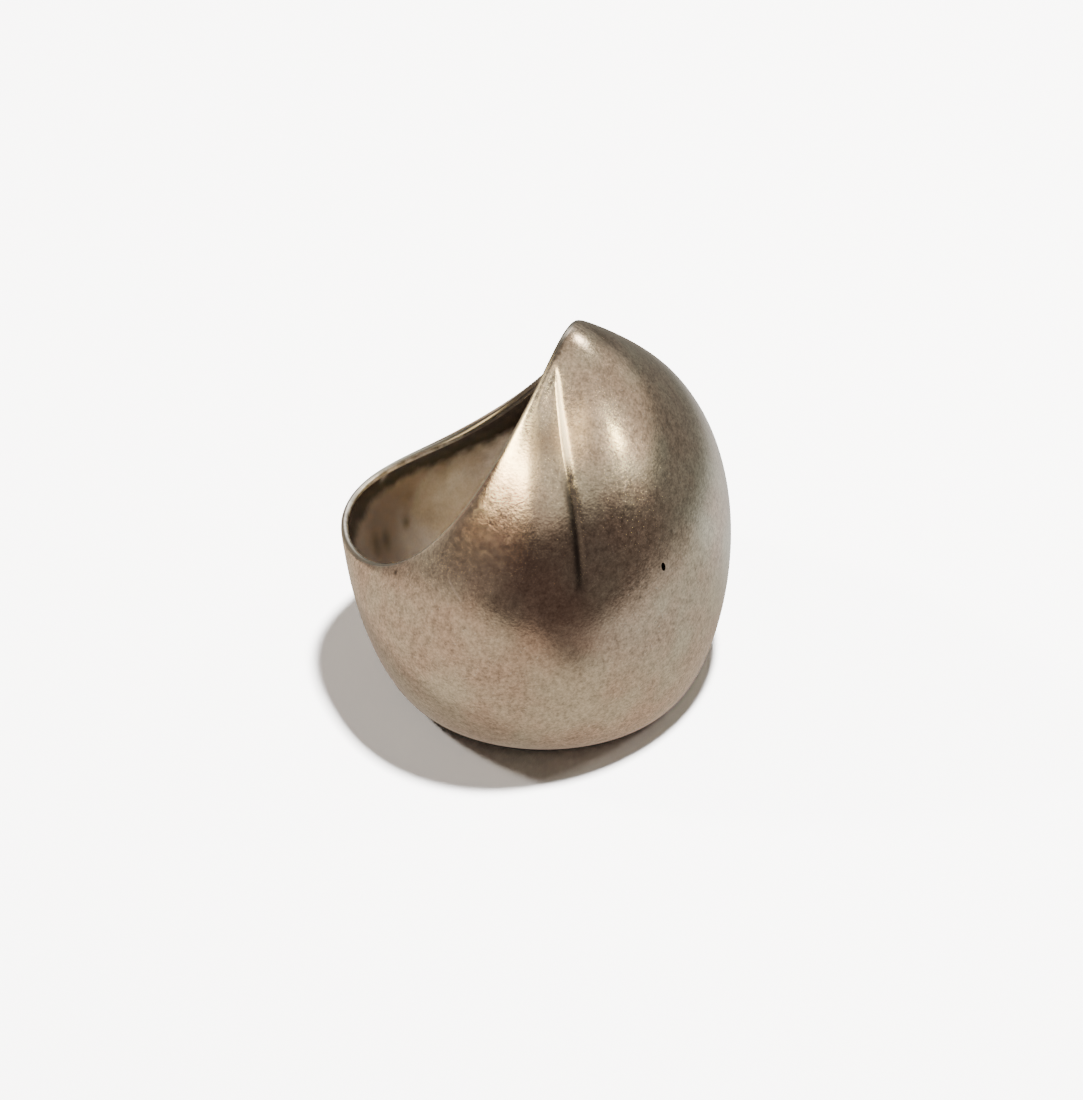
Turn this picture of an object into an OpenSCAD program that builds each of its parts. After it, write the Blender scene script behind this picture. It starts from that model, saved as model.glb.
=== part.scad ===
// A silver dome ring: one piece of sheet, bulged out like half a ball round the finger, with a
// thin shank at the back, a wide front that rises to a point, and one crease beside the point.
// It lies on its flat lower rim, so +Z is up from the table and the finger axis leans over.

/* [Finger opening] */
// Inside diameter of the opening, the ring size
finger_d = 16.8; // [15:0.1:20]
// How far the finger axis leans from upright as the ring lies on its lower rim, in degrees
lean = 18; // [5:0.1:30]

/* [Sheet] */
// Thickness of the silver sheet
sheet = 0.7; // [0.6:0.05:1]
// Thickness that the sheet thins to at the upper rim
rim_sheet = 0.5; // [0.4:0.05:0.6]

/* [Upper rim] */
// How much wider the opening is at the upper rim than at the lower rim, in radius
rim_splay = 0.7; // [0:0.1:1.2]
// Mean height of the upper rim over the middle of the ring, along the finger axis
rim_mid = 8.2; // [6:0.1:10]
// How much higher the rim runs at the front than at the shank, half the difference
rim_lift = 5.4; // [3:0.1:7]
// How far the rim dips at both sides of the finger, half the dip
rim_saddle = 2.1; // [0:0.1:3]
// How much higher the rim runs on the creased side than on the plain side, half the difference
rim_lean = 0.6; // [0:0.1:3]
// How far the rim rises on the plain side, on its way from the point to the shank
rim_shoulder = 0.6; // [0:0.1:1.2]

/* [Lower rim] */
// Depth of the flat lower rim under the middle of the ring, along the finger axis
base_mid = 8.5; // [6:0.1:10]

/* [Dome] */
// Mean bulge of the sheet beyond the line between its two rims
bulge_mid = 3.6; // [1.5:0.1:4]
// Bulge that the front has over the mean and the shank lacks
bulge_front = 2.3; // [0.5:0.1:2.4]
// Bulge taken off the front and the shank and given to the two sides
bulge_sides = 1.0; // [0:0.1:1.1]
// Bulge that the plain side has over the mean and the creased side lacks
bulge_plain = 1.2; // [0:0.1:1.5]
// Roundness of the sheet from rim to rim: 0.5 is an ellipse, 1 is a parabola
bulge_power = 0.7; // [0.6:0.01:1]

/* [Point] */
// Where the point stands, in degrees round the finger axis from the front
tip_at = -1; // [-10:1:30]
// Half-width of the point, in degrees
tip_width = 20; // [8:1:26]
// Bluntness of the point: 2 is a round peak, 4 has a flatter top and steeper sides
tip_blunt = 2; // [2:0.5:5]
// How far the point rises above the rim's own curve
tip_rise = 0.8; // [0:0.1:1.5]
// How far the point flares outward
tip_flare = 0.4; // [0:0.1:1.5]
// How hollow the sheet runs up to the point: 0 keeps the round of the dome
tip_hollow = 0.1; // [0:0.05:0.6]
// Half-width of that hollow run, in degrees
tip_hollow_width = 40; // [20:1:60]

/* [Crease] */
// Depth of the soft hollow that the crease lies in
hollow_depth = 0.35; // [0:0.05:0.6]
// Half-width of that hollow
hollow_width = 2.2; // [1.2:0.1:4]
// Depth of the crease itself, under the hollow
crease_depth = 0.25; // [0:0.05:0.4]
// Half-width of the crease's gentle flank, towards the shank
crease_gentle = 2.2; // [0.5:0.1:3]
// Half-width of the crease's steep flank, towards the point
crease_steep = 0.4; // [0.2:0.05:0.8]
// Where the crease's lower end is, in degrees round the finger axis from the front
crease_at = -47; // [-60:0.5:-30]

/* [Pinhole] */
// Diameter of the small hole that goes through the sheet
pinhole_d = 0.45; // [0.2:0.05:0.8]
// Where the pinhole is, in degrees round the finger axis from the front
pinhole_at = -19; // [-30:1:40]
// How far up the dome the pinhole is: -1 is the lower rim and 1 is the upper rim
pinhole_row = -0.07; // [-0.5:0.01:0.5]

/* [Hidden] */
// Fineness: columns round the finger, rows of the outside and of the inside, steps round an edge
columns = 76;
rows_out = 30;
rows_in = 14;
edge_steps = 4;
// Radius of the middle of the sheet at the lower rim, where the finger size trims its inner edge,
// and at the upper rim
trim = 0.05;
base_r = finger_d / 2 + sheet / 2 - trim;
rim_r = base_r + rim_splay;
// Near the rims the sheet's slope is read a little way in, where it is well defined
slope_end = 0.985;
slope_step = 0.002;
turn_step = 0.1;
// Columns crowd round the crease: share of even spacing, and how fast the rest opens out
even_share = 0.2;
spread_power = 1.6;
// Reach round the finger, in degrees, over which columns follow the crease
follow_width = 50;
// The crease climbs towards the point: evenly at first, and faster near the rim
crease_climb = 18;
crease_hook = 13.5;
hook_power = 8;
// Rows, from -1 at the lower rim to 1 at the upper rim, between which the crease and its hollow
// fade in and out, and between which the sheet thins
crease_fade = [0.06, 0.34];
crease_end = [0.96, 1];
hollow_fade = [-0.4, 0.3];
hollow_end = [0.9, 1.05];
thin_fade = [0.5, 1];
// Middle and half-width, in degrees, of the rim's rise on the plain side
shoulder_at = 82;
shoulder_width = 32;
// The bodies that cut the finger size and the flat rim reach past the ring on every side
cut_size = 90;
finger_steps = 96;
pinhole_steps = 24;
pinhole_reach = 2;

// An angle brought into the range from -180 to 180
function turned(a) = a - 360 * floor((a + 180) / 360);
// A bell curve round an angle
function bell(a, middle, width, blunt = 2) = exp(-pow(abs(turned(a - middle)) / width, blunt));
// A smooth step from 0 to 1 between two ends
function step(x, ends) = let (t = min(1, max(0, (x - ends[0]) / (ends[1] - ends[0])))) t * t * (3 - 2 * t);

// Heights of the rims and the bulge between them, by angle round the finger axis
function rim_height(a) = rim_mid + rim_lift * cos(a) + rim_saddle * cos(2 * a) - rim_lean * sin(a)
    + rim_shoulder * bell(a, shoulder_at, shoulder_width)
    + tip_rise * bell(a, tip_at, tip_width, tip_blunt);
function base_depth(a) = base_mid + base_r * tan(lean) * cos(a);
function bulge(a) = bulge_mid + bulge_front * cos(a) - bulge_sides * cos(2 * a) + bulge_plain * sin(a);
function power(a, u) = bulge_power + (u > 0 ? tip_hollow * bell(a, tip_at, tip_hollow_width) : 0);

// The middle of the sheet, by angle and by row, with the finger axis upright
function sheet_point(a, u) =
    let (v = (u + 1) / 2,
         r = base_r + rim_splay * v + tip_flare * bell(a, tip_at, tip_width, tip_blunt) * v * v
             + bulge(a) * pow(max(0, 1 - u * u), power(a, u)),
         z = -base_depth(a) + (rim_height(a) + base_depth(a)) * v)
    [r * cos(a), r * sin(a), z];
function unit(v) = v / norm(v);
// Directions across the rim and out of the sheet
function climb(a, u) = let (w = max(-slope_end, min(slope_end, u)))
    unit(sheet_point(a, w + slope_step) - sheet_point(a, w - slope_step));
function outward(a, u) = let (w = max(-slope_end, min(slope_end, u)))
    unit(cross(sheet_point(a + turn_step, w) - sheet_point(a - turn_step, w), climb(a, u)));

// The crease: its angle at each row, and how deep it and its hollow are there
function crease_angle(u) = crease_at + crease_climb * u + crease_hook * pow(max(0, u), hook_power);
function crease_amount(u) = step(u, crease_fade) * (1 - step(u, crease_end));
function hollow_amount(u) = step(u, hollow_fade) * (1 - step(u, hollow_end));
function crease_dent(a, u) =
    let (s = turned(a - crease_angle(u)) * PI / 180 * norm([sheet_point(a, u)[0], sheet_point(a, u)[1]]),
         flank = s < 0 ? crease_gentle : crease_steep)
    crease_depth * crease_amount(u) * exp(-pow(s / flank, 2));
function hollow_dent(a, u) =
    let (s = turned(a - crease_angle(u)) * PI / 180 * rim_r)
    hollow_depth * hollow_amount(u) * exp(-pow(s / hollow_width, 2));

// The sheet's two faces and its rounded edges, each half its thickness from its pressed-in middle
function half(u) = (sheet - (sheet - rim_sheet) * step(u, thin_fade)) / 2;
function pressed(a, u) = sheet_point(a, u) - outward(a, u) * hollow_dent(a, u);
function outside(a, u) = pressed(a, u) + outward(a, u) * (half(u) - crease_dent(a, u));
function inside(a, u) = pressed(a, u) - outward(a, u) * half(u);
function edge(a, u, turn) = pressed(a, u)
    + (outward(a, u) * cos(turn) + climb(a, u) * sign(u) * sin(turn)) * half(u);

// Column angles: close together at the crease, following it up the dome
function column(i, u) =
    let (s = 2 * i / columns - 1,
         off = 180 * sign(s) * (even_share * abs(s) + (1 - even_share) * pow(abs(s), spread_power)))
    crease_at + off + (crease_angle(u) - crease_at) * exp(-pow(off / follow_width, 2));
function row(i, n) = -cos(180 * i / n);

// One closed loop of sheet per column: up the outside, over the edge, down the inside and back
function loop(i) = concat(
    [for (k = [1:rows_out - 1]) let (u = row(k, rows_out)) outside(column(i, u), u)],
    [for (k = [0:edge_steps]) edge(column(i, 1), 1, 180 * k / edge_steps)],
    [for (k = [1:rows_in - 1]) let (u = -row(k, rows_in)) inside(column(i, u), u)],
    [for (k = [0:edge_steps]) edge(column(i, -1), -1, 180 - 180 * k / edge_steps)]);

module sheet_body() {
    loops = [for (i = [0:columns - 1]) loop(i)];
    n = len(loops[0]);
    faces = [for (i = [0:columns - 1], k = [0:n - 1])
        let (j = (i + 1) % columns, m = (k + 1) % n)
        each [[i * n + k, i * n + m, j * n + m], [i * n + k, j * n + m, j * n + k]]];
    polyhedron(points = [for (l = loops) each l], faces = faces, convexity = 6);
}

// A thin round bar through the sheet where the pinhole is, square to the dome
module pinhole_bar() {
    way = outward(pinhole_at, pinhole_row);
    translate(sheet_point(pinhole_at, pinhole_row))
        rotate([0, acos(way[2]), atan2(way[1], way[0])])
            cylinder(d = pinhole_d, h = pinhole_reach, center = true, $fn = pinhole_steps);
}

// The ring as it lies: the shell leaned over, its inner edges opened to the true ring size, and
// its lower rim filed flat
module ring_shell() {
    color([0.72, 0.67, 0.60])
        difference() {
            rotate([0, -lean, 0])
                difference() {
                    translate([0, 0, base_mid]) sheet_body();
                    translate([0, 0, base_mid]) pinhole_bar();
                    cylinder(d = finger_d, h = cut_size, center = true, $fn = finger_steps);
                }
            translate([0, 0, -cut_size / 2]) cube(cut_size, center = true);
        }
}

ring_shell();
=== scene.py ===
# A dome ring of worn sheet silver, lying on its flat lower rim on a pale table.
# The shell is made by a Geometry Nodes tree from the ring's own sizes, in millimetres, and then
# brought to metres. Angles round the finger are in degrees from the front, and a row runs from
# -1 at the lower rim to 1 at the upper rim.
import math

import bpy
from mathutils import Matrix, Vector


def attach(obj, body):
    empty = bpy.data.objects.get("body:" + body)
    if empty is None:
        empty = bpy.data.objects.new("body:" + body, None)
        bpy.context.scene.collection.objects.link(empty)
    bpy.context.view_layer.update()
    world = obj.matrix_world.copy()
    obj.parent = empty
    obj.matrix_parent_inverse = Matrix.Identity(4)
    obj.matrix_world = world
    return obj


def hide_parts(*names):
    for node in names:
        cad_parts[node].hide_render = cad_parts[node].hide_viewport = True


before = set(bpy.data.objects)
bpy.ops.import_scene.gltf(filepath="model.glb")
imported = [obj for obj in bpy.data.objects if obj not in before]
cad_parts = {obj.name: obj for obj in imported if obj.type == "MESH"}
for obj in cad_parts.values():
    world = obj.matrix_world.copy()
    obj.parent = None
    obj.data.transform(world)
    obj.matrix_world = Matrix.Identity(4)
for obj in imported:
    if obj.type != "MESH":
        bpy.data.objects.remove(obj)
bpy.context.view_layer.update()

MM = 0.001
# The camera's turn, and the level directions to the right of its view and towards it
CAMERA_AZIMUTH = math.radians(19.03)
RIGHT = Vector((math.cos(CAMERA_AZIMUTH), math.sin(CAMERA_AZIMUTH), 0.0))
TOWARD = Vector((math.sin(CAMERA_AZIMUTH), -math.cos(CAMERA_AZIMUTH), 0.0))

# The ring's driving sizes
SIZES = {
    "Finger Radius": 8.4,
    "Lean": 18.0,
    "Sheet": 0.7,
    "Rim Sheet": 0.5,
    "Base Radius": 8.7,
    "Rim Splay": 0.7,
    "Rim Mid": 8.2,
    "Rim Lift": 5.4,
    "Rim Saddle": 2.1,
    "Rim Lean": 0.6,
    "Rim Shoulder": 0.6,
    "Base Mid": 8.5,
    "Bulge Mid": 3.6,
    "Bulge Front": 2.3,
    "Bulge Sides": 1.0,
    "Bulge Plain": 1.2,
    "Bulge Power": 0.7,
    "Point At": -1.0,
    "Point Width": 20.0,
    "Point Blunt": 2.0,
    "Point Rise": 0.8,
    "Point Flare": 0.4,
    "Point Hollow": 0.1,
    "Point Hollow Width": 40.0,
    "Hollow Depth": 0.35,
    "Hollow Width": 2.2,
    "Crease Depth": 0.25,
    "Crease Gentle": 2.2,
    "Crease Steep": 0.4,
    "Crease At": -47.0,
    "Crease Climb": 18.0,
    "Crease Hook": 13.5,
    "Hook Power": 8.0,
    "Pinhole Width": 0.36,
    "Pinhole Height": 0.62,
    "Pinhole At": -19.0,
    "Pinhole Row": -0.07,
}
# Fineness of the mesh: round the finger, up the outside, down the inside, round each edge
COUNTS = {"Columns": 300, "Outside Rows": 110, "Inside Rows": 40, "Edge Steps": 8}
# Columns crowd round the crease: share of even spacing, how fast the rest opens out, and how far
# round the finger, in degrees, the columns follow the crease
EVEN_SHARE = 0.2
SPREAD_POWER = 1.6
FOLLOW_WIDTH = 50.0
# Rows between which the crease and its hollow fade in and out, and the sheet thins
CREASE_FADE = (0.06, 0.34)
CREASE_END = (0.96, 1.0)
HOLLOW_FADE = (-0.4, 0.3)
HOLLOW_END = (0.9, 1.05)
THIN_FADE = (0.5, 1.0)
# Middle and half-width, in degrees, of the rim's rise on the plain side
SHOULDER_AT = 82.0
SHOULDER_WIDTH = 32.0
# Near the rims the sheet's slope is read a little way in
SLOPE_END = 0.985
SLOPE_STEP = 0.002
TURN_STEP = 0.1
# The bodies that cut the flat rim and the pinhole
CUT_SIZE = 90.0
PINHOLE_REACH = 2.0
PINHOLE_SIDES = 20
# Points of the grid that meet at its seams are joined within this distance
SEAM_GAP = 0.0005
# The mesh is shaded smooth over edges that bend less than this
SMOOTH_ANGLE = math.radians(50.0)
# Which side of the sheet counts as its edge and as its inside, from 0 outside to 1 inside
EDGE_FROM = 0.02
INSIDE_FROM = 0.98
# The dark line at the bottom of the crease, and the bright line painted on its steep flank as a
# highlight: place across the crease and half-width, in millimetres, and the rows between which
# each fades in and out
DARK_LINE = (-0.06, 0.34)
DARK_LINE_ROWS = ((0.13, 0.22), (0.6, 0.76))
BRIGHT_LINE = (0.36, 0.22)
BRIGHT_LINE_ROWS = ((0.66, 0.77), (0.92, 1.0))


class Field:
    """A node socket on which plain arithmetic makes maths nodes."""

    def __init__(self, tree, socket):
        self.tree = tree
        self.socket = socket

    def __add__(self, other):
        return maths(self.tree, "ADD", self, other)

    __radd__ = __add__

    def __sub__(self, other):
        return maths(self.tree, "SUBTRACT", self, other)

    def __rsub__(self, other):
        return maths(self.tree, "SUBTRACT", other, self)

    def __mul__(self, other):
        return maths(self.tree, "MULTIPLY", self, other)

    def __truediv__(self, other):
        return maths(self.tree, "DIVIDE", self, other)

    def __neg__(self):
        return maths(self.tree, "MULTIPLY", self, -1.0)


def plug(tree, value, socket):
    """Links a field, or a bare socket, to a socket, or sets the socket's own value."""
    if isinstance(value, Field):
        value = value.socket
    if isinstance(value, bpy.types.NodeSocket):
        tree.links.new(value, socket)
    else:
        socket.default_value = value


def maths(tree, operation, *values):
    node = tree.nodes.new("ShaderNodeMath")
    node.operation = operation
    for socket, value in zip(node.inputs, values):
        plug(tree, value, socket)
    return Field(tree, node.outputs[0])


def vector(tree, operation, *values, output="Vector"):
    node = tree.nodes.new("ShaderNodeVectorMath")
    node.operation = operation
    for socket, value in zip(node.inputs, values):
        plug(tree, value, socket)
    return Field(tree, node.outputs[output])


def scaled(tree, value, factor):
    node = tree.nodes.new("ShaderNodeVectorMath")
    node.operation = "SCALE"
    plug(tree, value, node.inputs[0])
    plug(tree, factor, node.inputs["Scale"])
    return Field(tree, node.outputs["Vector"])


def joined(tree, x, y, z):
    node = tree.nodes.new("ShaderNodeCombineXYZ")
    for socket, value in zip(node.inputs, (x, y, z)):
        plug(tree, value, socket)
    return Field(tree, node.outputs[0])


def parts_of(tree, value):
    node = tree.nodes.new("ShaderNodeSeparateXYZ")
    plug(tree, value, node.inputs[0])
    return [Field(tree, socket) for socket in node.outputs]


def along(tree, place, way):
    """How far a place lies in a direction."""
    return vector(tree, "DOT_PRODUCT", place, tuple(way), output="Value")


def smooth_step(tree, value, ends):
    node = tree.nodes.new("ShaderNodeMapRange")
    node.interpolation_type = "SMOOTHSTEP"
    plug(tree, value, node.inputs["Value"])
    node.inputs["From Min"].default_value = ends[0]
    node.inputs["From Max"].default_value = ends[1]
    return Field(tree, node.outputs["Result"])


def held(tree, value, least, most):
    """A value kept between two bounds."""
    return maths(tree, "MAXIMUM", maths(tree, "MINIMUM", value, most), least)


def fading(tree, value, ends):
    """1 up to the first end, falling to 0 at the second."""
    return 1.0 - smooth_step(tree, value, ends)


def between(tree, value, rise, fall):
    """0, rising to 1 over one span and falling back to 0 over another."""
    return smooth_step(tree, value, rise) * fading(tree, value, fall)


def bell(tree, value, width):
    """A bell curve of a distance from the middle."""
    share = value / width
    return maths(tree, "EXPONENT", -(share * share))


def turned(tree, angle):
    """An angle in degrees brought into the range from -180 to 180."""
    return maths(tree, "WRAP", angle, 180.0, -180.0)


def node_tree(name, tree_type, inputs, outputs):
    """A node tree with named sockets, its input fields by name, and its output node."""
    tree = bpy.data.node_groups.new(name, tree_type)
    for label, kind in inputs:
        tree.interface.new_socket(label, in_out="INPUT", socket_type=kind)
    for label, kind in outputs:
        tree.interface.new_socket(label, in_out="OUTPUT", socket_type=kind)
    source = tree.nodes.new("NodeGroupInput")
    target = tree.nodes.new("NodeGroupOutput")
    fields = {label: Field(tree, source.outputs[label]) for label, _ in inputs}
    return tree, fields, target


def stored(tree, geometry, name, value, domain):
    """Stores a number on a mesh's points or faces under a name."""
    node = tree.nodes.new("GeometryNodeStoreNamedAttribute")
    node.data_type, node.domain = "FLOAT", domain
    node.inputs["Name"].default_value = name
    plug(tree, geometry, node.inputs["Geometry"])
    plug(tree, value, node.inputs["Value"])
    return node.outputs["Geometry"]


def size_inputs():
    return [(name, "NodeSocketFloat") for name in SIZES]


def use(tree, group, fields, **extra):
    """Places a group in a tree and hands it the ring's sizes and any other values."""
    node = tree.nodes.new("GeometryNodeGroup")
    node.node_tree = group
    for name in SIZES:
        plug(tree, fields[name], node.inputs[name])
    for name, value in extra.items():
        plug(tree, value, node.inputs[name])
    return node


def sheet_point_group():
    """The middle of the sheet by angle and row, with the finger axis upright."""
    inputs = [("Angle", "NodeSocketFloat"), ("Row", "NodeSocketFloat")] + size_inputs()
    tree, f, target = node_tree("sheet point", "GeometryNodeTree", inputs,
                                [("Point", "NodeSocketVector")])
    turn = maths(tree, "RADIANS", f["Angle"])
    cos, sin = maths(tree, "COSINE", turn), maths(tree, "SINE", turn)
    cos_twice = maths(tree, "COSINE", turn * 2.0)
    from_point = turned(tree, f["Angle"] - f["Point At"])
    share = maths(tree, "ABSOLUTE", from_point) / f["Point Width"]
    near_point = maths(tree, "EXPONENT", -maths(tree, "POWER", share, f["Point Blunt"]))
    from_shoulder = turned(tree, f["Angle"] - SHOULDER_AT)
    rim_height = (f["Rim Mid"] + f["Rim Lift"] * cos + f["Rim Saddle"] * cos_twice
                  - f["Rim Lean"] * sin + f["Point Rise"] * near_point
                  + f["Rim Shoulder"] * bell(tree, from_shoulder, SHOULDER_WIDTH))
    base_slope = maths(tree, "TANGENT", maths(tree, "RADIANS", f["Lean"]))
    base_depth = f["Base Mid"] + f["Base Radius"] * base_slope * cos
    bulge = (f["Bulge Mid"] + f["Bulge Front"] * cos - f["Bulge Sides"] * cos_twice
             + f["Bulge Plain"] * sin)
    upper = maths(tree, "GREATER_THAN", f["Row"], 0.0)
    hollow = upper * f["Point Hollow"] * bell(tree, from_point, f["Point Hollow Width"])
    dome = maths(tree, "POWER", maths(tree, "MAXIMUM", 1.0 - f["Row"] * f["Row"], 0.0),
                 f["Bulge Power"] + hollow)
    up = (f["Row"] + 1.0) / 2.0
    radius = (f["Base Radius"] + f["Rim Splay"] * up + f["Point Flare"] * near_point * up * up
              + bulge * dome)
    height = (rim_height + base_depth) * up - base_depth
    plug(tree, joined(tree, radius * cos, radius * sin, height), target.inputs["Point"])
    return tree


def sheet_frame_group(point_group):
    """The sheet's middle, its outward direction and its direction towards the upper rim."""
    inputs = [("Angle", "NodeSocketFloat"), ("Row", "NodeSocketFloat")] + size_inputs()
    outputs = [(name, "NodeSocketVector") for name in ("Point", "Outward", "Climb")]
    tree, f, target = node_tree("sheet frame", "GeometryNodeTree", inputs, outputs)

    def point(angle, row):
        node = use(tree, point_group, f, Angle=angle, Row=row)
        return Field(tree, node.outputs["Point"])

    inner_row = held(tree, f["Row"], -SLOPE_END, SLOPE_END)
    rise = vector(tree, "SUBTRACT", point(f["Angle"], inner_row + SLOPE_STEP),
                  point(f["Angle"], inner_row - SLOPE_STEP))
    round_way = vector(tree, "SUBTRACT", point(f["Angle"] + TURN_STEP, inner_row),
                       point(f["Angle"] - TURN_STEP, inner_row))
    outward = vector(tree, "CROSS_PRODUCT", round_way, rise)
    plug(tree, point(f["Angle"], f["Row"]), target.inputs["Point"])
    plug(tree, vector(tree, "NORMALIZE", outward), target.inputs["Outward"])
    plug(tree, vector(tree, "NORMALIZE", rise), target.inputs["Climb"])
    return tree


def shell_tree():
    """The whole shell: a grid wrapped round the finger and round the sheet, with the crease
    pressed in, the finger size trimmed and the lower rim cut flat."""
    counts = [(name, "NodeSocketInt") for name in COUNTS]
    materials = [(name, "NodeSocketMaterial") for name in ("Outside", "Inside", "Edges")]
    inputs = [("Geometry", "NodeSocketGeometry")] + size_inputs() + counts + materials
    tree, f, target = node_tree("dome ring shell", "GeometryNodeTree", inputs,
                                [("Geometry", "NodeSocketGeometry")])
    frame_group = sheet_frame_group(sheet_point_group())

    # How far round the finger and round the sheet each grid point is, both from 0 to 1
    grid = tree.nodes.new("GeometryNodeMeshGrid")
    around = f["Outside Rows"] + f["Inside Rows"] + f["Edge Steps"] * 2.0
    plug(tree, f["Columns"] + 1.0, grid.inputs["Vertices X"])
    plug(tree, around + 1.0, grid.inputs["Vertices Y"])
    place = parts_of(tree, tree.nodes.new("GeometryNodeInputPosition").outputs[0])
    round_finger = place[0] + 0.5
    step = (place[1] + 0.5) * around

    def section(start, length):
        """How much of one stretch of the loop round the sheet lies behind this point."""
        return held(tree, (step - start) / length, 0.0, 1.0)

    up = section(0.0, f["Outside Rows"])
    over = section(f["Outside Rows"], f["Edge Steps"])
    down = section(f["Outside Rows"] + f["Edge Steps"], f["Inside Rows"])
    under = section(f["Outside Rows"] + f["Edge Steps"] + f["Inside Rows"], f["Edge Steps"])
    row = -maths(tree, "COSINE", (up - down) * math.pi)
    side = over - under
    turn = side * math.pi

    # Column angles, close together at the crease and following it up the dome
    upper = maths(tree, "MAXIMUM", row, 0.0)
    hooked = maths(tree, "POWER", upper, f["Hook Power"])
    crease_shift = f["Crease Climb"] * row + f["Crease Hook"] * hooked
    crease_angle = f["Crease At"] + crease_shift
    spread = round_finger * 2.0 - 1.0
    far = maths(tree, "ABSOLUTE", spread)
    opened = far * EVEN_SHARE + maths(tree, "POWER", far, SPREAD_POWER) * (1.0 - EVEN_SHARE)
    off = maths(tree, "SIGN", spread) * opened * 180.0
    angle = f["Crease At"] + off + crease_shift * bell(tree, off, FOLLOW_WIDTH)

    sheet = use(tree, frame_group, f, Angle=angle, Row=row)
    middle = Field(tree, sheet.outputs["Point"])
    outward = Field(tree, sheet.outputs["Outward"])
    climb = Field(tree, sheet.outputs["Climb"])

    # The crease and its soft hollow
    away = maths(tree, "RADIANS", turned(tree, angle - crease_angle))
    x, y, z = parts_of(tree, middle)
    here = maths(tree, "SQRT", x * x + y * y)
    across = away * here
    gentle_side = maths(tree, "LESS_THAN", across, 0.0)
    flank = f["Crease Steep"] + (f["Crease Gentle"] - f["Crease Steep"]) * gentle_side
    crease = (f["Crease Depth"] * between(tree, row, CREASE_FADE, CREASE_END)
              * bell(tree, across, flank) * maths(tree, "LESS_THAN", side, 0.5))
    rim_radius = f["Base Radius"] + f["Rim Splay"]
    hollow = (f["Hollow Depth"] * between(tree, row, HOLLOW_FADE, HOLLOW_END)
              * bell(tree, away * rim_radius, f["Hollow Width"]))

    thinned = (f["Sheet"] - f["Rim Sheet"]) * smooth_step(tree, row, THIN_FADE)
    half = (f["Sheet"] - thinned) / 2.0
    out = maths(tree, "COSINE", turn) * half - crease - hollow
    lip = maths(tree, "SINE", turn) * half * maths(tree, "SIGN", row)
    surface = vector(tree, "ADD", middle, scaled(tree, outward, out))
    surface = vector(tree, "ADD", surface, scaled(tree, climb, lip))

    # The finger size trims the lower rim's inner edge
    x, y, z = parts_of(tree, surface)
    wide = maths(tree, "SQRT", x * x + y * y)
    trim = maths(tree, "MAXIMUM", wide, f["Finger Radius"]) / wide
    placed = joined(tree, x * trim, y * trim, z + f["Base Mid"])
    move = tree.nodes.new("GeometryNodeSetPosition")
    plug(tree, placed, move.inputs["Position"])

    # What the finishes go by: which side of the sheet a point is on, 0 outside and 1 inside, the
    # row, and how near it is to the crease's two lines

    def crease_line(place_across, fades):
        middle_at, width = place_across
        return bell(tree, across - middle_at, width) * between(tree, row, *fades)

    marks = {"sheet_side": side, "dome_row": row,
             "dark_line": crease_line(DARK_LINE, DARK_LINE_ROWS),
             "bright_line": crease_line(BRIGHT_LINE, BRIGHT_LINE_ROWS)}
    last = grid.outputs["Mesh"]
    for name, value in marks.items():
        last = stored(tree, last, name, value, "POINT")
    plug(tree, last, move.inputs["Geometry"])
    weld = tree.nodes.new("GeometryNodeMergeByDistance")
    weld.inputs["Distance"].default_value = SEAM_GAP
    plug(tree, move.outputs["Geometry"], weld.inputs["Geometry"])

    # The pinhole goes through the sheet, square to the dome. Its bar is 1 mm wide before it is
    # scaled to the oval
    spot = use(tree, frame_group, f, Angle=f["Pinhole At"], Row=f["Pinhole Row"])
    bar = tree.nodes.new("GeometryNodeMeshCylinder")
    bar.inputs["Vertices"].default_value = PINHOLE_SIDES
    bar.inputs["Radius"].default_value = 0.5
    bar.inputs["Depth"].default_value = PINHOLE_REACH
    square = tree.nodes.new("FunctionNodeAlignRotationToVector")
    square.axis = "Z"
    plug(tree, spot.outputs["Outward"], square.inputs["Vector"])
    upright = tree.nodes.new("FunctionNodeAlignRotationToVector")
    upright.axis, upright.pivot_axis = "Y", "Z"
    plug(tree, square.outputs["Rotation"], upright.inputs["Rotation"])
    plug(tree, spot.outputs["Climb"], upright.inputs["Vector"])
    drill = tree.nodes.new("GeometryNodeTransform")
    wall = stored(tree, bar.outputs["Mesh"], "hole_wall", 1.0, "FACE")
    plug(tree, wall, drill.inputs["Geometry"])
    lift = joined(tree, 0.0, 0.0, f["Base Mid"])
    plug(tree, vector(tree, "ADD", spot.outputs["Point"], lift), drill.inputs["Translation"])
    plug(tree, upright.outputs["Rotation"], drill.inputs["Rotation"])
    plug(tree, joined(tree, f["Pinhole Width"], f["Pinhole Height"], 1.0), drill.inputs["Scale"])
    pierced = tree.nodes.new("GeometryNodeMeshBoolean")
    pierced.operation = "DIFFERENCE"
    pierced.solver = "MANIFOLD"
    plug(tree, weld.outputs["Geometry"], pierced.inputs[0])
    plug(tree, drill.outputs["Geometry"], pierced.inputs[1])

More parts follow.
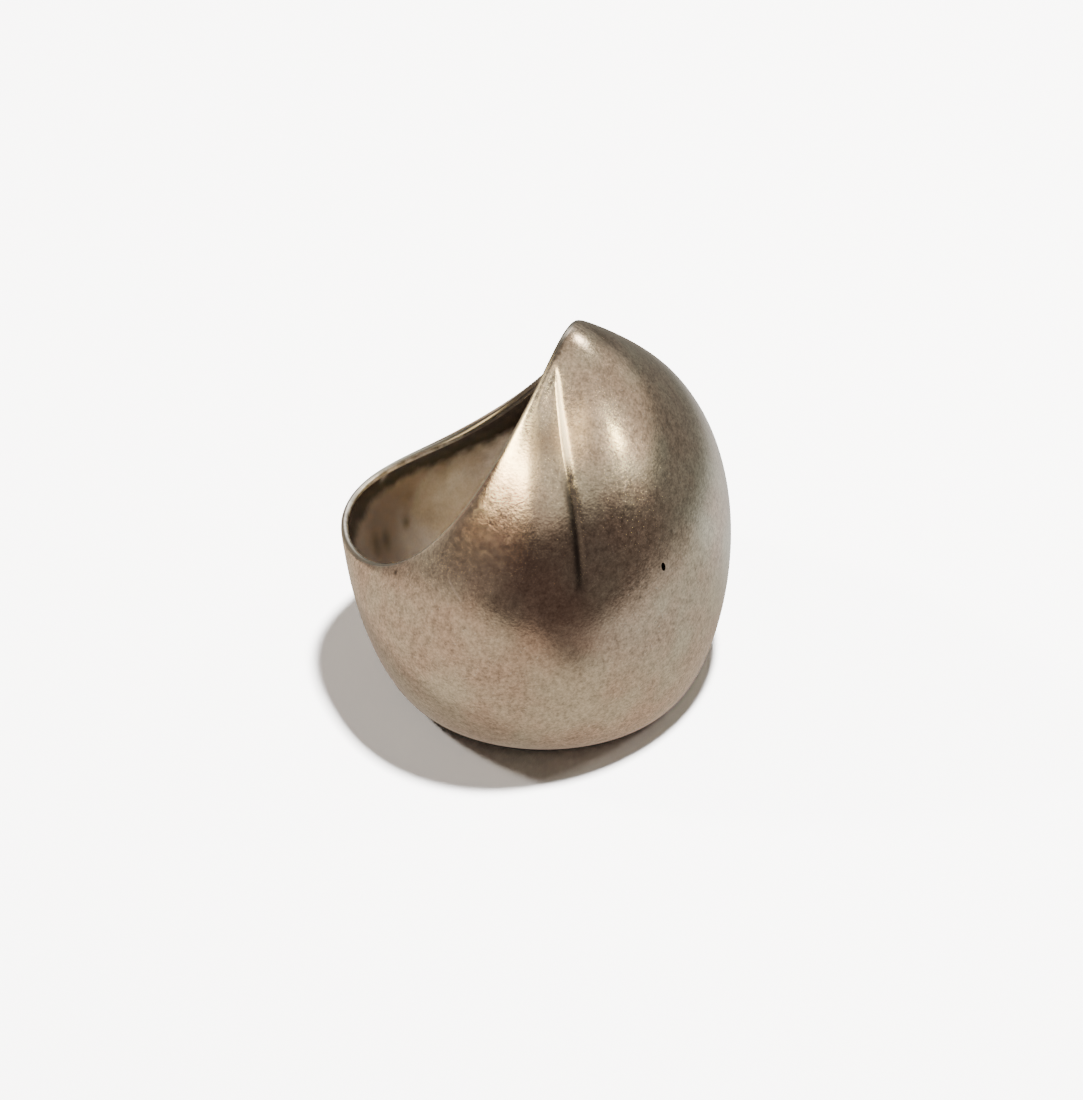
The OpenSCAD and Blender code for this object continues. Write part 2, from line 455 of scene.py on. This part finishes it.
    # The ring leans back, and its lower rim is cut flat where it meets the table
    lean = tree.nodes.new("GeometryNodeTransform")
    plug(tree, pierced.outputs["Mesh"], lean.inputs["Geometry"])
    leaned = joined(tree, 0.0, -maths(tree, "RADIANS", f["Lean"]), 0.0)
    plug(tree, leaned, lean.inputs["Rotation"])
    below = tree.nodes.new("GeometryNodeMeshCube")
    below.inputs["Size"].default_value = (CUT_SIZE, CUT_SIZE, CUT_SIZE)
    sink = tree.nodes.new("GeometryNodeTransform")
    plug(tree, below.outputs["Mesh"], sink.inputs["Geometry"])
    sink.inputs["Translation"].default_value = (0.0, 0.0, -CUT_SIZE / 2)
    cut = tree.nodes.new("GeometryNodeMeshBoolean")
    cut.operation = "DIFFERENCE"
    cut.solver = "MANIFOLD"
    plug(tree, lean.outputs["Geometry"], cut.inputs[0])
    plug(tree, sink.outputs["Geometry"], cut.inputs[1])
    shrink = tree.nodes.new("GeometryNodeTransform")
    plug(tree, cut.outputs["Mesh"], shrink.inputs["Geometry"])
    shrink.inputs["Scale"].default_value = (MM, MM, MM)

    real = tree.nodes.new("GeometryNodeRealizeInstances")
    plug(tree, shrink.outputs["Geometry"], real.inputs["Geometry"])
    smooth = tree.nodes.new("GeometryNodeSetShadeSmooth")
    plug(tree, real.outputs["Geometry"], smooth.inputs["Geometry"])
    named = tree.nodes.new("GeometryNodeInputNamedAttribute")
    named.data_type = "FLOAT"
    named.inputs["Name"].default_value = "sheet_side"
    kept_side = Field(tree, named.outputs["Attribute"])
    last = smooth.outputs["Geometry"]
    inner = maths(tree, "GREATER_THAN", kept_side, INSIDE_FROM)
    edge = maths(tree, "GREATER_THAN", kept_side, EDGE_FROM) * (1.0 - inner)
    for name, chosen in (("Outside", None), ("Inside", inner), ("Edges", edge)):
        paint = tree.nodes.new("GeometryNodeSetMaterial")
        plug(tree, last, paint.inputs["Geometry"])
        plug(tree, f[name], paint.inputs["Material"])
        if chosen is not None:
            plug(tree, chosen, paint.inputs["Selection"])
        last = paint.outputs["Geometry"]
    plug(tree, last, target.inputs["Geometry"])
    return tree


def make_shell(materials):
    """Runs the tree on an empty object and keeps the result as a plain mesh."""
    tree = shell_tree()
    maker = bpy.data.objects.new("shell_maker", bpy.data.meshes.new("shell_maker"))
    bpy.context.scene.collection.objects.link(maker)
    modifier = maker.modifiers.new("shell", "NODES")
    modifier.node_group = tree
    values = {**SIZES, **COUNTS, **materials}
    for item in tree.interface.items_tree:
        if item.in_out == "INPUT" and item.name in values:
            modifier[item.identifier] = values[item.name]
    shown = maker.evaluated_get(bpy.context.evaluated_depsgraph_get())
    mesh = bpy.data.meshes.new_from_object(shown)
    bpy.data.objects.remove(maker)
    mesh.name = "silver_shell"
    mesh.set_sharp_from_angle(angle=SMOOTH_ANGLE)
    shell = bpy.data.objects.new("silver_shell", mesh)
    bpy.context.scene.collection.objects.link(shell)
    return shell


# Marks on the ring: the place and the radius in millimetres, the share and the tint
LOBE_STAIN = (2.2, -6.0, 22.6)
POINT_STAIN = (3.43, 1.73, 25.79)
WARM_REFLECTION_TINT = (0.42, 0.24, 0.19)
OUTSIDE_MARKS = (
    (LOBE_STAIN, 1.4, 0.65, (0.34, 0.26, 0.2)),
    (POINT_STAIN, 0.9, 0.6, (0.3, 0.25, 0.2)),
    # Below the near rim, painted in the mirrored dark band: a darker patch of painted shade, and
    # warm tints of painted reflection
    ((-1.5, -10.5, 17.1), 2.6, 0.55, (0.36, 0.28, 0.23)),
    ((2.6, -10.4, 16.3), 4.5, 0.5, WARM_REFLECTION_TINT),
    ((5.6, -10.2, 11.6), 2.4, 0.5, WARM_REFLECTION_TINT),
    # A bright halo painted round the pinhole as a highlight, and the pit
    ((9.38, -4.25, 13.0), 0.42, 0.5, (0.95, 0.88, 0.8)),
    ((-6.79, -9.79, 12.56), 0.2, 1.0, (0.03, 0.02, 0.02)),
)
SCRATCH = ((-2.5, -11.54, 14.26), (-1.48, -12.13, 13.32))
SCRATCH_WIDTH = 0.09
# A wide patch of painted shade, low on the inside of the shank
INNER_SHADE = ((-11.8, 1.5, 5.0), 5.5, 0.9, (0.22, 0.17, 0.135))
SPOT_TINT = (0.1, 0.07, 0.045)
INNER_SPOTS = (
    ((-11.17, 4.68, 4.99), 0.45, 0.75, SPOT_TINT),
    ((-11.62, 0.06, 6.37), 0.9, 0.75, SPOT_TINT),
    ((-11.49, 1.67, 5.64), 0.7, 0.75, SPOT_TINT),
)
NICK_TINT = (0.95, 0.9, 0.82)
INNER_NICKS = (
    ((-8.45, 7.67, 10.42), 0.35, 0.7, NICK_TINT),
    ((-12.04, 3.26, 9.55), 0.35, 0.7, NICK_TINT),
)

# The silver's finishes, and the tints of its wear and tarnish
OUTSIDE_FINISH = {
    "Metal": (0.75, 0.61, 0.50), "Cool": (0.66, 0.62, 0.51), "Stain": (0.22, 0.16, 0.12),
    "Grain": 1.0, "Clouds": 0.5, "Glints": 0.5,
}
INSIDE_FINISH = {
    "Metal": (0.70, 0.655, 0.65), "Cool": (0.65, 0.635, 0.63), "Stain": (0.3, 0.22, 0.15),
    "Grain": 0.3, "Clouds": 0.7, "Roughness": 0.42,
}
EDGE_FINISH = {
    "Metal": (0.92, 0.87, 0.80), "Cool": (0.88, 0.85, 0.80), "Stain": (0.3, 0.25, 0.2),
    "Grain": 0.3, "Clouds": 0.2, "Roughness": 0.3,
}
# Sizes of the patina's lumps, from the finest to the widest, in millimetres
GLINT_SIZE = 0.14
FINE_SIZE = 0.17
GRAIN_SIZE = 0.45
CLOUD_SIZE = 2.2
DRIFT_SIZE = 5.5
# Noise over which the warm metal turns cool, the stain comes on and a painted glint shows
COOL_SPAN = (-0.22, 0.22)
STAIN_SPAN = (0.18, 0.5)
GLINT_SPAN = (0.2, 0.3)
# How high the grain stands, in millimetres, and how metallic the dull inside is
SATIN_HEIGHT = 0.006
EDGE_HEIGHT = 0.008
DULL_METALLIC = 0.97
GLINT_TINT = (1.0, 0.95, 0.86)
SATIN_ROUGHNESS = 0.17
HIGHLIGHT_ROUGHNESS = 0.3
HIGHLIGHT_TINT = (1.0, 0.97, 0.94)
SCRATCH_TINT = (0.95, 0.85, 0.75)
CREASE_TINT = (0.05, 0.047, 0.046)
HOLE_SHADE_TINT = (0.02, 0.015, 0.012)
BROWN_TINT = (0.2, 0.145, 0.105)
BLACK_TINT = (0.05, 0.036, 0.028)
GREY_EDGE_TINT = (0.27, 0.25, 0.215)
DARK_EDGE_TINT = (0.12, 0.11, 0.1)
# Rows over which the inside's painted brown and black shade come on, the sizes of their lumps, and
# where across the ring, in millimetres to the right, there is less brown and more black
BROWN_ROWS = (0.15, 0.8)
BROWN_SIZE = 2.0
BLACK_ROWS = (0.64, 0.84)
BLACK_SIZE = 1.2
MIDDLE_SPANS = ((-11.0, -2.0), (0.0, 5.0))
# The strip of the edge painted bright as a highlight, by side of the sheet, and its flecks
HIGHLIGHT_SIDES = ((0.4, 0.55), (0.8, 0.95))
FLECK_SIZE = 0.9
FLECK_SPAN = (-0.12, 0.12)
# The dark edge beside the point, in millimetres to the right and behind
BESIDE_POINT = ((-7.5, -4.5), (-1.0, 1.0))
BEHIND_POINT = (0.0, 3.0)


def noise(tree, place, size, detail=2.0, shift=0.0):
    """Noise about 0, with lumps of about the given size in millimetres."""
    node = tree.nodes.new("ShaderNodeTexNoise")
    node.inputs["Scale"].default_value = 1.0 / size
    node.inputs["Detail"].default_value = detail
    plug(tree, vector(tree, "ADD", place, (shift, shift, shift)), node.inputs["Vector"])
    return Field(tree, node.outputs["Fac"]) - 0.5


def blend(tree, share, first, second):
    """A colour between two colours."""
    node = tree.nodes.new("ShaderNodeMix")
    node.data_type = "RGBA"
    plug(tree, share, node.inputs["Factor"])
    for value, label in ((first, "A"), (second, "B")):
        socket = next(s for s in node.inputs if s.name == label and s.type == "RGBA")
        plug(tree, (*value, 1.0) if isinstance(value, tuple) else value, socket)
    return Field(tree, next(s for s in node.outputs if s.type == "RGBA"))


def near(tree, place, spot, radius):
    """1 at a spot on the ring, falling to 0 round it."""
    gap = vector(tree, "DISTANCE", place, spot, output="Value")
    return bell(tree, gap, radius)


def marked(tree, colour, place, marks):
    """A colour with marks on it, each a place, a radius, a share and a tint."""
    for spot, radius, share, tint in marks:
        colour = blend(tree, near(tree, place, spot, radius) * share, colour, tint)
    return colour


def near_line(tree, place, start, end, radius):
    """1 on a short straight line, falling to 0 round it."""
    start, end = Vector(start), Vector(end)
    run = end - start
    offset = vector(tree, "SUBTRACT", place, tuple(start))
    share = held(tree, along(tree, offset, run / run.length_squared), 0.0, 1.0)
    foot = vector(tree, "ADD", tuple(start), scaled(tree, tuple(run), share))
    return bell(tree, vector(tree, "DISTANCE", place, foot, output="Value"), radius)


def patina_group():
    """Grain, cloudy patches, light stain and painted glints of old silver."""
    inputs = [("Place", "NodeSocketVector"), ("Metal", "NodeSocketColor"),
              ("Cool", "NodeSocketColor"), ("Stain", "NodeSocketColor"),
              ("Grain", "NodeSocketFloat"), ("Clouds", "NodeSocketFloat"),
              ("Glints", "NodeSocketFloat"), ("Stained", "NodeSocketFloat"),
              ("Roughness", "NodeSocketFloat")]
    outputs = [("Colour", "NodeSocketColor"), ("Roughness", "NodeSocketFloat"),
               ("Height", "NodeSocketFloat")]
    tree, f, target = node_tree("silver patina", "ShaderNodeTree", inputs, outputs)
    fine = noise(tree, f["Place"], FINE_SIZE, 1.0)
    grain = noise(tree, f["Place"], GRAIN_SIZE, 2.0, 7.0)
    cloud = noise(tree, f["Place"], CLOUD_SIZE, 2.0, 19.0)
    drift = noise(tree, f["Place"], DRIFT_SIZE, 1.0, 31.0)
    cool = smooth_step(tree, cloud * 0.6 + drift, COOL_SPAN)
    tone = blend(tree, cool, f["Metal"], f["Cool"])
    light = 1.0 + f["Grain"] * (fine + grain) + f["Clouds"] * (cloud + drift)
    lit = scaled(tree, tone, light)
    spotty = smooth_step(tree, grain + cloud * 0.5 + f["Stained"] * 0.5, STAIN_SPAN)
    # Painted glints: small bright specks mixed into the colour
    glints = smooth_step(tree, noise(tree, f["Place"], GLINT_SIZE, 0.0, 43.0), GLINT_SPAN)
    lit = blend(tree, glints * f["Glints"], lit, GLINT_TINT)
    plug(tree, blend(tree, spotty * 0.55, lit, f["Stain"]), target.inputs["Colour"])
    plug(tree, f["Roughness"] + grain * 0.12 + spotty * 0.12, target.inputs["Roughness"])
    plug(tree, fine + grain * 0.5, target.inputs["Height"])
    return tree


def silver(name, patina, values, grain_height, metallic=1.0):
    """Starts a silver material: its tree, its shader, the place in millimetres, and the patina."""
    material = bpy.data.materials.new(name)
    material.use_nodes = True
    tree = material.node_tree
    shader = tree.nodes["Principled BSDF"]
    shader.inputs["Metallic"].default_value = metallic
    place = scaled(tree, tree.nodes.new("ShaderNodeTexCoord").outputs["Object"], 1.0 / MM)
    coat = tree.nodes.new("ShaderNodeGroup")
    coat.node_tree = patina
    plug(tree, place, coat.inputs["Place"])
    for label, value in values.items():
        plug(tree, (*value, 1.0) if isinstance(value, tuple) else value, coat.inputs[label])
    bump = tree.nodes.new("ShaderNodeBump")
    bump.inputs["Distance"].default_value = grain_height * MM
    plug(tree, coat.outputs["Height"], bump.inputs["Height"])
    plug(tree, bump.outputs["Normal"], shader.inputs["Normal"])
    plug(tree, coat.outputs["Roughness"], shader.inputs["Roughness"])
    return material, tree, shader, place, coat


def attribute(tree, name):
    node = tree.nodes.new("ShaderNodeAttribute")
    node.attribute_name = name
    return Field(tree, node.outputs["Fac"])


def outside_silver(patina):
    material, tree, shader, place, coat = silver("worn satin silver", patina, OUTSIDE_FINISH,
                                                 SATIN_HEIGHT)
    # The bright line on the crease's steep flank is a painted highlight: near white, and rougher
    highlighted = attribute(tree, "bright_line")
    plug(tree, highlighted * HIGHLIGHT_ROUGHNESS + SATIN_ROUGHNESS, coat.inputs["Roughness"])
    patch = near(tree, place, LOBE_STAIN, 1.5) * 0.55 + near(tree, place, POINT_STAIN, 0.5)
    plug(tree, patch, coat.inputs["Stained"])
    colour = marked(tree, coat.outputs["Colour"], place, OUTSIDE_MARKS)
    scratch = near_line(tree, place, *SCRATCH, SCRATCH_WIDTH)
    colour = blend(tree, scratch * 0.6, colour, SCRATCH_TINT)
    colour = blend(tree, highlighted * 0.9, colour, HIGHLIGHT_TINT)
    colour = blend(tree, attribute(tree, "dark_line") * 0.85, colour, CREASE_TINT)
    # The pinhole's walls are painted near black, as painted shade inside the hole
    colour = blend(tree, attribute(tree, "hole_wall"), colour, HOLE_SHADE_TINT)
    plug(tree, colour, shader.inputs["Base Color"])
    return material


def inside_silver(patina):
    material, tree, shader, place, coat = silver("dull inner silver", patina, INSIDE_FINISH,
                                                 SATIN_HEIGHT, DULL_METALLIC)
    # The inside is painted darker low on the shank side, as painted shade
    colour = marked(tree, coat.outputs["Colour"], place, (INNER_SHADE,))
    # Painted shade: the inside turns brown towards the upper rim, and a ragged black line runs
    # under the rim, where the wall turns down
    row = attribute(tree, "dome_row")
    midway = between(tree, along(tree, place, RIGHT), *MIDDLE_SPANS)
    brown = row + noise(tree, place, BROWN_SIZE, 3.0) * 0.6 + (1.0 - midway) * 0.25
    colour = blend(tree, smooth_step(tree, brown, BROWN_ROWS) * 0.7, colour, BROWN_TINT)
    colour = marked(tree, colour, place, INNER_SPOTS)
    ragged = row + noise(tree, place, BLACK_SIZE, 3.0) * 0.25 + midway * 0.3
    colour = blend(tree, smooth_step(tree, ragged, BLACK_ROWS), colour, BLACK_TINT)
    colour = marked(tree, colour, place, INNER_NICKS)
    plug(tree, colour, shader.inputs["Base Color"])
    return material


def edge_silver(patina):
    material, tree, shader, place, coat = silver("rubbed silver edge", patina, EDGE_FINISH,
                                                 EDGE_HEIGHT)
    # The edge is painted dark grey, save a strip on its inner half that is painted bright in
    # flecks, as a highlight
    side = attribute(tree, "sheet_side")
    highlighted = between(tree, side, *HIGHLIGHT_SIDES)
    flecks = smooth_step(tree, noise(tree, place, FLECK_SIZE, 3.0), FLECK_SPAN) * 0.7 + 0.3
    colour = blend(tree, (1.0 - highlighted * flecks) * 0.8, coat.outputs["Colour"], GREY_EDGE_TINT)
    # Beside the point, behind, it is dark
    right = along(tree, place, RIGHT)
    toward = along(tree, place, TOWARD)
    beside = between(tree, right, *BESIDE_POINT)
    behind = smooth_step(tree, -toward, BEHIND_POINT)
    colour = blend(tree, beside * behind * 0.85, colour, DARK_EDGE_TINT)
    plug(tree, colour, shader.inputs["Base Color"])
    return material


patina = patina_group()
materials = {
    "Outside": outside_silver(patina),
    "Inside": inside_silver(patina),
    "Edges": edge_silver(patina),
}
shell = make_shell(materials)
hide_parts("ring_shell")
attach(shell, "root")

# The camera, with the photograph's angle and framing
CAMERA_HEIGHT = math.radians(37.62)
PHOTO_SIZE = (1083, 1100)
PHOTO_ORIGIN = (544.9, 659.6)
PIXELS_PER_MM = 15.5
LENS = 400.0
SENSOR = 36.0
MIDDLE_HEIGHT = 5.4


def place_camera():
    back = TOWARD * math.cos(CAMERA_HEIGHT) + Vector((0.0, 0.0, math.sin(CAMERA_HEIGHT)))
    upward = back.cross(RIGHT)
    right = (PHOTO_SIZE[0] / 2 - PHOTO_ORIGIN[0]) / PIXELS_PER_MM
    above = (PHOTO_ORIGIN[1] - PHOTO_SIZE[1] / 2) / PIXELS_PER_MM
    distance = PHOTO_SIZE[1] / PIXELS_PER_MM * LENS / SENSOR
    spot = RIGHT * right + upward * above + back * (MIDDLE_HEIGHT + distance)
    data = bpy.data.cameras.new("camera")
    data.lens, data.sensor_width = LENS, SENSOR
    data.clip_start, data.clip_end = 0.01, 10.0
    camera = bpy.data.objects.new("camera", data)
    camera.location = spot * MM
    camera.rotation_mode = "QUATERNION"
    camera.rotation_quaternion = back.to_track_quat("Z", "Y")
    bpy.context.scene.collection.objects.link(camera)
    bpy.context.scene.camera = camera


place_camera()

# The table: pale all over, and lit as a pool round the ring, beyond which its mirror image is dim
TABLE_REACH = 3.0
TABLE_ROUGHNESS = 0.8
SHADOW_TABLE = (0.16, 0.14, 0.12)
PALE_TABLE = (0.90, 0.895, 0.89)
# The pool fades by nearness, which is this distance over a place's own from the middle. It reaches
# further to the left of the camera's view and less far to the right
POOL_DISTANCE = 10.0
POOL_NEARNESS = (0.115, 0.265)
POOL_LEFTWARD = 0.21
POOL_RIGHTWARD = 0.055
LEFT_SPAN = (-0.1, 1.0)
TURN_RIGHT = (65.0, 110.0)
# Where its colours give way to each other, in millimetres to the right and behind
WARM_FROM = (-16.0, 0.0)
GREY_FROM = (5.0, 25.0)
RIGHT_FROM = (8.0, 16.0)
BEHIND_FROM = (3.0, 13.0)
# The ring's own shade in the pool: how far left of the middle, how wide and how strong
SHADE_LEFT = 5.0
SHADE_RADIUS = (10.5, 14.5)
SHADE_SHARE = 0.45
POOL_LEFT = (0.76, 0.61, 0.47)
POOL_WARM = (0.65, 0.52, 0.40)
POOL_GREY = (0.60, 0.55, 0.47)
POOL_BEHIND = (0.85, 0.82, 0.76)
POOL_OUTSIDE = (0.135, 0.108, 0.093)
POOL_OUTSIDE_RIGHT = (0.22, 0.205, 0.175)
# A dark reach of the table in front, whose mirror image runs down below the crease
TAIL_AT = 23.0
TAIL_WIDTH = 9.0
TAIL_RADIUS = (20.0, 34.0)
TAIL_SHARE = 0.75


def straight_mirror(tree):
    """1 for a ray that mirrors off the silver straight into the camera, else 0."""
    path = tree.nodes.new("ShaderNodeLightPath")
    scattered = maths(tree, "MINIMUM", Field(tree, path.outputs["Diffuse Depth"]), 1.0)
    return Field(tree, path.outputs["Is Glossy Ray"]) * (1.0 - scattered)


def make_table():
    reach = TABLE_REACH
    mesh = bpy.data.meshes.new("table")
    corners = [(-reach, -reach, 0), (reach, -reach, 0), (reach, reach, 0), (-reach, reach, 0)]
    mesh.from_pydata(corners, [], [(0, 1, 2, 3)])
    material = bpy.data.materials.new("pale table")
    material.use_nodes = True
    tree = material.node_tree
    shader = tree.nodes["Principled BSDF"]
    shader.inputs["Roughness"].default_value = TABLE_ROUGHNESS
    shader.inputs["Specular IOR Level"].default_value = 0.0
    place = scaled(tree, tree.nodes.new("ShaderNodeTexCoord").outputs["Object"], 1.0 / MM)
    side = along(tree, place, RIGHT)
    gap = maths(tree, "MAXIMUM", vector(tree, "LENGTH", place, output="Value"), 1.0)
    leftward = smooth_step(tree, -side / gap, LEFT_SPAN)
    front = along(tree, place, TOWARD)
    table_turn = maths(tree, "DEGREES", maths(tree, "ARCTAN2", side, front))
    rightward = smooth_step(tree, table_turn, TURN_RIGHT)
    nearness = (maths(tree, "DIVIDE", POOL_DISTANCE, gap) + leftward * POOL_LEFTWARD
                - rightward * POOL_RIGHTWARD)
    mirrored = straight_mirror(tree)
    seen = Field(tree, tree.nodes.new("ShaderNodeLightPath").outputs["Is Camera Ray"])
    # Pale to the camera, dark to scattered light, and nothing but the pool in the silver
    colour = blend(tree, seen, SHADOW_TABLE, PALE_TABLE)
    colour = blend(tree, mirrored, colour, (0.0, 0.0, 0.0))
    plug(tree, colour, shader.inputs["Base Color"])
    pool = blend(tree, smooth_step(tree, side, WARM_FROM), POOL_LEFT, POOL_WARM)
    pool = blend(tree, smooth_step(tree, side, GREY_FROM), pool, POOL_GREY)
    behind = smooth_step(tree, side, RIGHT_FROM) * smooth_step(tree, -front, BEHIND_FROM)
    pool = blend(tree, behind, pool, POOL_BEHIND)
    outside = blend(tree, rightward, POOL_OUTSIDE, POOL_OUTSIDE_RIGHT)
    pool = blend(tree, smooth_step(tree, nearness, POOL_NEARNESS), outside, pool)
    tail = bell(tree, table_turn - TAIL_AT, TAIL_WIDTH) * smooth_step(tree, gap, TAIL_RADIUS)
    pool = blend(tree, tail * TAIL_SHARE, pool, POOL_OUTSIDE)
    under = vector(tree, "DISTANCE", place, tuple(RIGHT * -SHADE_LEFT), output="Value")
    shade = fading(tree, under, SHADE_RADIUS)
    pool = blend(tree, shade * SHADE_SHARE, pool, POOL_OUTSIDE)
    plug(tree, pool, shader.inputs["Emission Color"])
    plug(tree, mirrored, shader.inputs["Emission Strength"])
    mesh.materials.append(material)
    table = bpy.data.objects.new("table", mesh)
    bpy.context.scene.collection.objects.link(table)


make_table()


# Softboxes, in millimetres and watts: how far right, towards the camera and up, size, power, colour
SOFTBOXES = {
    "main softbox": (62.0, -42.0, 400.0, 36.0, 15.0, (1.0, 0.985, 0.97)),
    "left softbox": (-300.0, -85.0, 260.0, 40.0, 1.25, (1.0, 0.92, 0.84)),
    "right softbox": (260.0, -110.0, 260.0, 40.0, 0.3, (1.0, 0.93, 0.84)),
}
RING_MIDDLE = Vector((0.0, 0.0, 8.0))


def soft_light(name, right, toward, height, size, power, colour):
    """A square softbox that looks at the ring's middle."""
    data = bpy.data.lights.new(name, "AREA")
    data.size, data.energy, data.color = size * MM, power, colour
    light = bpy.data.objects.new(name, data)
    spot = RIGHT * right + TOWARD * toward + Vector((0.0, 0.0, height))
    light.location = spot * MM
    light.rotation_mode = "QUATERNION"
    light.rotation_quaternion = (spot - RING_MIDDLE).to_track_quat("Z", "Y")
    light.visible_camera = False
    light.visible_glossy = False
    bpy.context.scene.collection.objects.link(light)


for name, values in SOFTBOXES.items():
    soft_light(name, *values)

# What the silver mirrors, by direction: azimuth from the camera's side, to the right positive,
# and height above the table, both in degrees
DARK_WALL = (0.115, 0.091, 0.08)
DIM_WALL = (0.26, 0.21, 0.175)
SHADED_WALL = (0.17, 0.14, 0.115)
HORIZON_WALL = (0.48, 0.39, 0.31)
DARK_RIGHT_WALL = (0.25, 0.235, 0.195)
LEFT_WALL = (0.26, 0.21, 0.175)
LIT_WALL = (0.82, 0.71, 0.56)
LIT_RIGHT_WALL = (0.68, 0.58, 0.46)
CEILING = (0.28, 0.25, 0.21)
BACK_WALL = (0.36, 0.34, 0.29)
# Azimuths between which one wall gives way to the next
DARK_FROM = (-45.0, 15.0)
DARK_RIGHT_FROM = (75.0, 110.0)
LEFT_TO = (-85.0, -45.0)
HORIZON_TO = (-75.0, -15.0)
LIT_RIGHT_FROM = (70.0, 115.0)
SHADED_TO = (-115.0, -85.0)
BACK_FROM = (120.0, 150.0)
# Heights between which the glow at the horizon ends, the shaded wall begins and the ceiling begins
HORIZON_TOP = (-3.0, 11.0)
SHADED_FOOT = (22.0, 38.0)
CEILING_FOOT = (52.0, 75.0)
# Heights between which the lit wall begins, and how fast that falls between two azimuths
LIT_FOOT = (19.0, 33.0)
LIT_FALL = 0.28
LIT_FALL_SPAN = (10.0, 90.0)
# The wide window: its sides, its foot, which sinks to the left of one azimuth, its head, and the
# dimmer wings beside it
WINDOW_SIDES = ((-95.0, -78.0), (-8.0, 20.0))
WING_SIDES = ((-125.0, -105.0), (20.0, 58.0))
WINDOW_SHARE = 0.88
WING_SHARE = 0.12
WINDOW_FOOT = (29.0, 40.0)
WINDOW_SINK_AT = -35.0
WINDOW_SINK = 0.22
WINDOW_HEAD = (38.0, 48.0)
WINDOW_LIGHT = (21.0, 16.5, 9.0)
# A soft pale patch behind, which only the upper rim mirrors: height, half-width, half-height
PATCH_HEIGHT = 38.0
PATCH_SIZE = (22.0, 15.0)
PATCH_LIGHT = (3.5, 3.3, 3.0)
# Lamps: azimuth, height, slant, half-length, half-width and colour
LAMPS = (
    (72.0, 20.5, -42.0, 4.5, 1.1, (46.0, 40.0, 20.0)),
    (73.0, 19.0, -42.0, 20.0, 8.0, (1.4, 1.22, 0.9)),
    (126.0, 37.0, -40.0, 9.0, 3.5, (16.0, 14.0, 10.5)),
)
# What lights the shade, and what the camera sees past the table
AMBIENT = (0.055, 0.047, 0.041)
BACKDROP = (0.9, 0.9, 0.9)


def room_world():
    world = bpy.data.worlds.new("room")
    world.use_nodes = True
    tree = world.node_tree
    way = tree.nodes.new("ShaderNodeTexCoord").outputs["Generated"]
    right = along(tree, way, RIGHT)
    toward = along(tree, way, TOWARD)
    up = parts_of(tree, way)[2]
    azimuth = maths(tree, "DEGREES", maths(tree, "ARCTAN2", right, toward))
    height = maths(tree, "DEGREES", maths(tree, "ARCSINE", up))
    side = maths(tree, "ABSOLUTE", azimuth)

    # The walls, dark below and lit above
    fall = held(tree, azimuth, *LIT_FALL_SPAN) - LIT_FALL_SPAN[0]
    dark = blend(tree, smooth_step(tree, azimuth, DARK_FROM), DIM_WALL, DARK_WALL)
    dark = blend(tree, smooth_step(tree, azimuth, DARK_RIGHT_FROM), dark, DARK_RIGHT_WALL)
    dark = blend(tree, fading(tree, azimuth, LEFT_TO), dark, LEFT_WALL)
    low = fading(tree, height, HORIZON_TOP) * fading(tree, azimuth, HORIZON_TO)
    dark = blend(tree, low, dark, HORIZON_WALL)
    lit = blend(tree, smooth_step(tree, azimuth, LIT_RIGHT_FROM), LIT_WALL, LIT_RIGHT_WALL)
    room = blend(tree, smooth_step(tree, height + fall * LIT_FALL, LIT_FOOT), dark, lit)
    left = fading(tree, azimuth, SHADED_TO)
    room = blend(tree, left * smooth_step(tree, height, SHADED_FOOT), room, SHADED_WALL)
    room = blend(tree, smooth_step(tree, side, BACK_FROM), room, BACK_WALL)
    room = blend(tree, smooth_step(tree, height, CEILING_FOOT), room, CEILING)

    # The window, the patch and the lamps
    sunk = maths(tree, "MAXIMUM", WINDOW_SINK_AT - azimuth, 0.0) * WINDOW_SINK
    upright = smooth_step(tree, height + sunk, WINDOW_FOOT) * fading(tree, height, WINDOW_HEAD)
    window = (between(tree, azimuth, *WINDOW_SIDES) * WINDOW_SHARE
              + between(tree, azimuth, *WING_SIDES) * WING_SHARE)
    room = blend(tree, window * upright, room, WINDOW_LIGHT)
    wide, high = PATCH_SIZE
    patch = bell(tree, 180.0 - side, wide) * bell(tree, height - PATCH_HEIGHT, high)
    room = blend(tree, patch, room, PATCH_LIGHT)
    for turn, rise, slant, length, width, light in LAMPS:
        slant = math.radians(slant)
        level = (azimuth - turn) * math.cos(math.radians(rise))
        steep = height - rise
        lengthwise = level * math.cos(slant) + steep * math.sin(slant)
        crosswise = steep * math.cos(slant) - level * math.sin(slant)
        glow = bell(tree, lengthwise, length) * bell(tree, crosswise, width)
        room = vector(tree, "ADD", room, scaled(tree, light, glow))

    seen = Field(tree, tree.nodes.new("ShaderNodeLightPath").outputs["Is Camera Ray"])
    colour = blend(tree, straight_mirror(tree), AMBIENT, room)
    colour = blend(tree, seen, colour, BACKDROP)
    plug(tree, colour, tree.nodes["Background"].inputs["Color"])
    bpy.context.scene.world = world


room_world()
